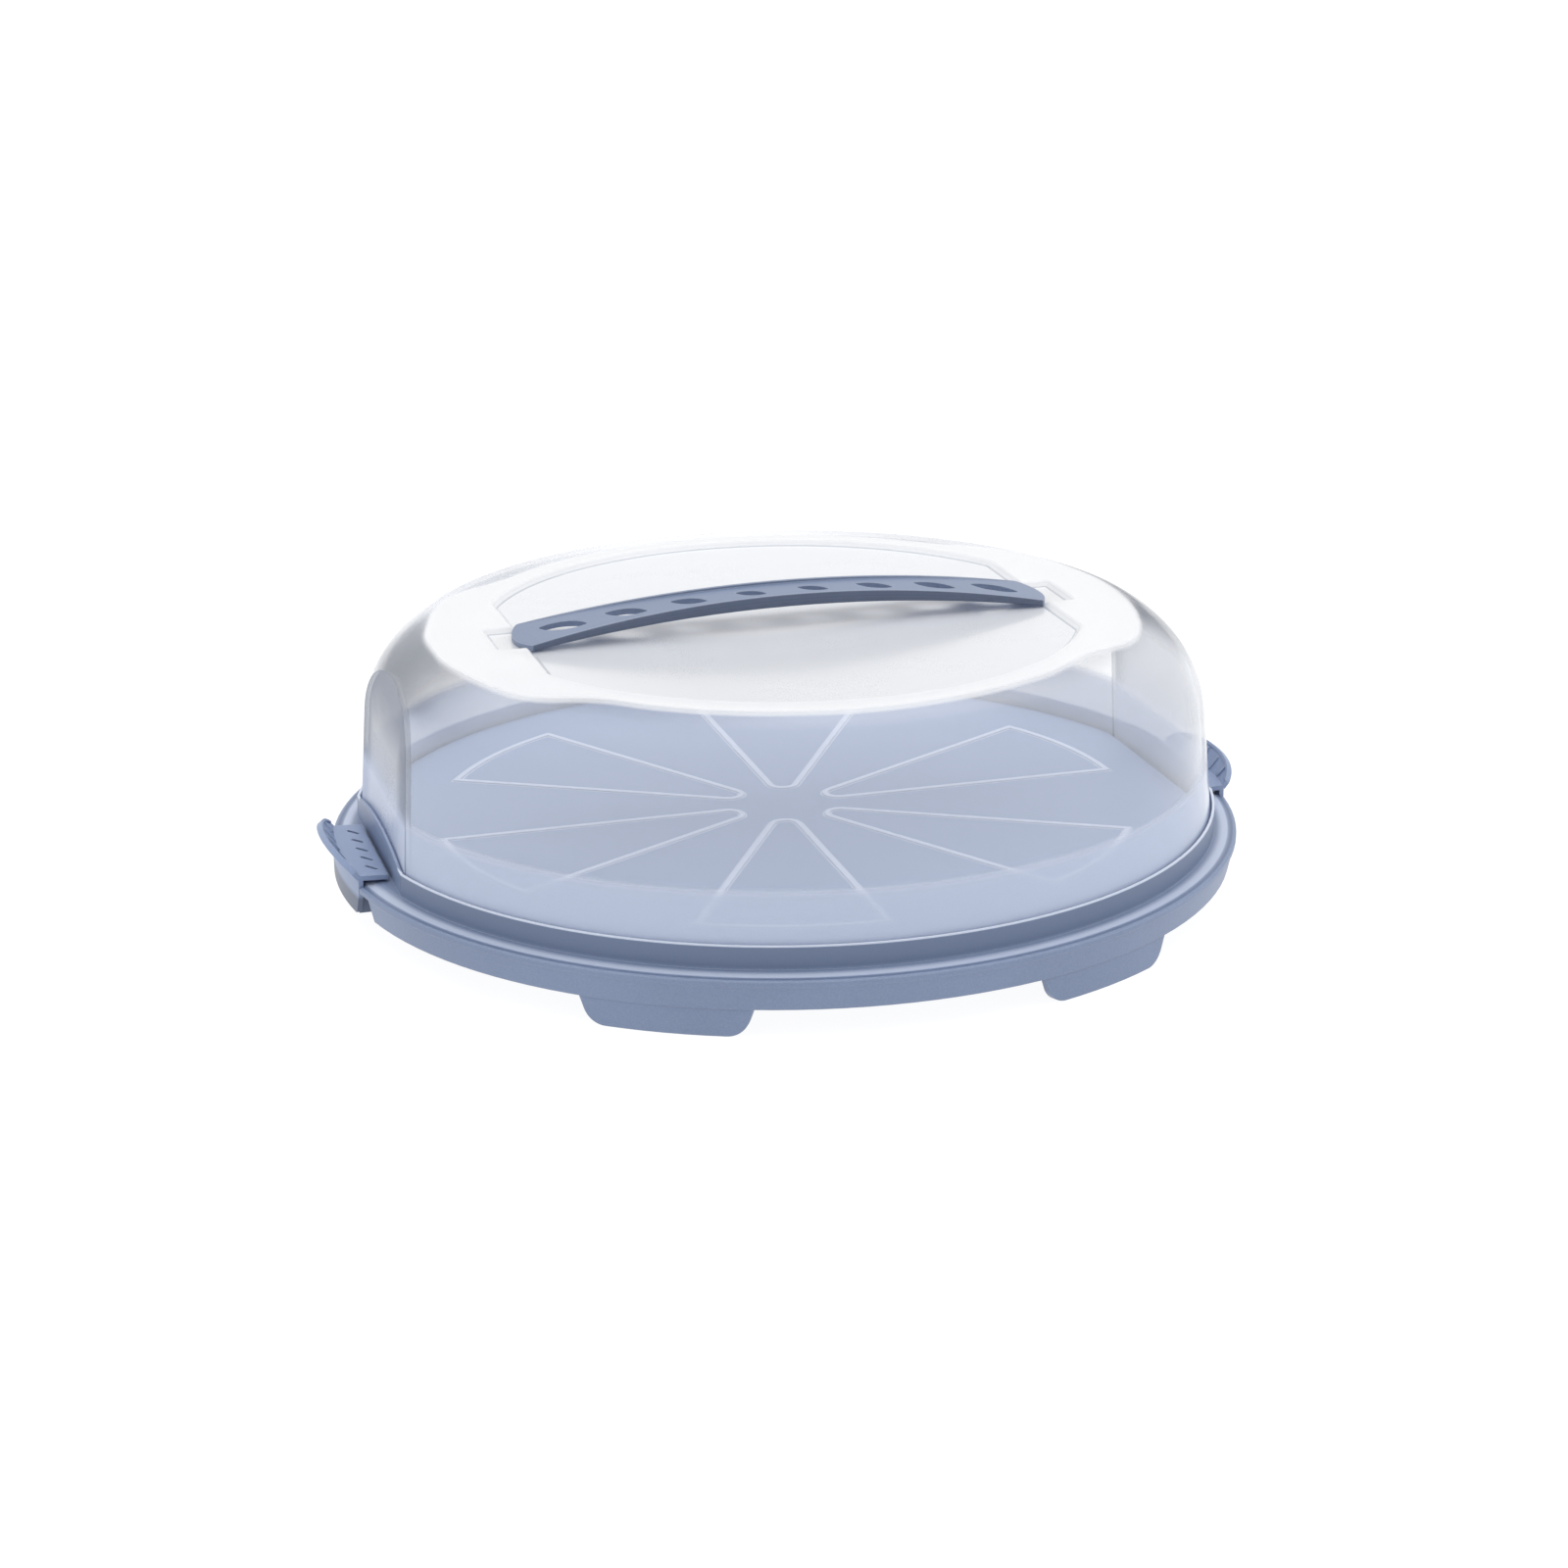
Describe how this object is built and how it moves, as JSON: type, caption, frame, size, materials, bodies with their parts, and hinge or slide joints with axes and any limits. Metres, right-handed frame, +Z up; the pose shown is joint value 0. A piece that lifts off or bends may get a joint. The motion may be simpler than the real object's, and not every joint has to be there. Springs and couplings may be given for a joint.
{
  "type": "cake keeper",
  "caption": "Flat round cake keeper: footed tray with a ring wall, clear lift-off dome with an arched carry handle, and a tipping clip on each side.",
  "frame": {"origin": "middle of the tray, in the plane that the four feet stand on", "axes": "+X through the two clips and along the carry handle, +Z up, +Y away from the viewer of the front"},
  "size_m": [0.358, 0.345, 0.1124],
  "materials": {
    "blue_plastic": "satin slate blue polypropylene with a fine moulded grain",
    "clear_plastic": "clear, slightly milky polypropylene, with a frosted recess on the crown"
  },
  "bodies": {
    "base": {"tray": "blue_plastic"},
    "lid": {"dome": "clear_plastic", "carry_handle": "blue_plastic"},
    "left_clip": {"clip_left": "blue_plastic"},
    "right_clip": {"clip_right": "blue_plastic"}
  },
  "joints": [
    {"name": "lid_lift", "type": "slide", "parent": "base", "child": "lid", "axis": [0, 0, 1], "range_m": [0, 0.12]},
    {"name": "left_clip_tip", "type": "hinge", "parent": "base", "child": "left_clip", "pos_m": [-0.1646, 0, 0.014], "axis": [0, -1, 0], "range_deg": [0, 80]},
    {"name": "right_clip_tip", "type": "hinge", "parent": "base", "child": "right_clip", "pos_m": [0.1646, 0, 0.014], "axis": [0, 1, 0], "range_deg": [0, 80]}
  ]
}
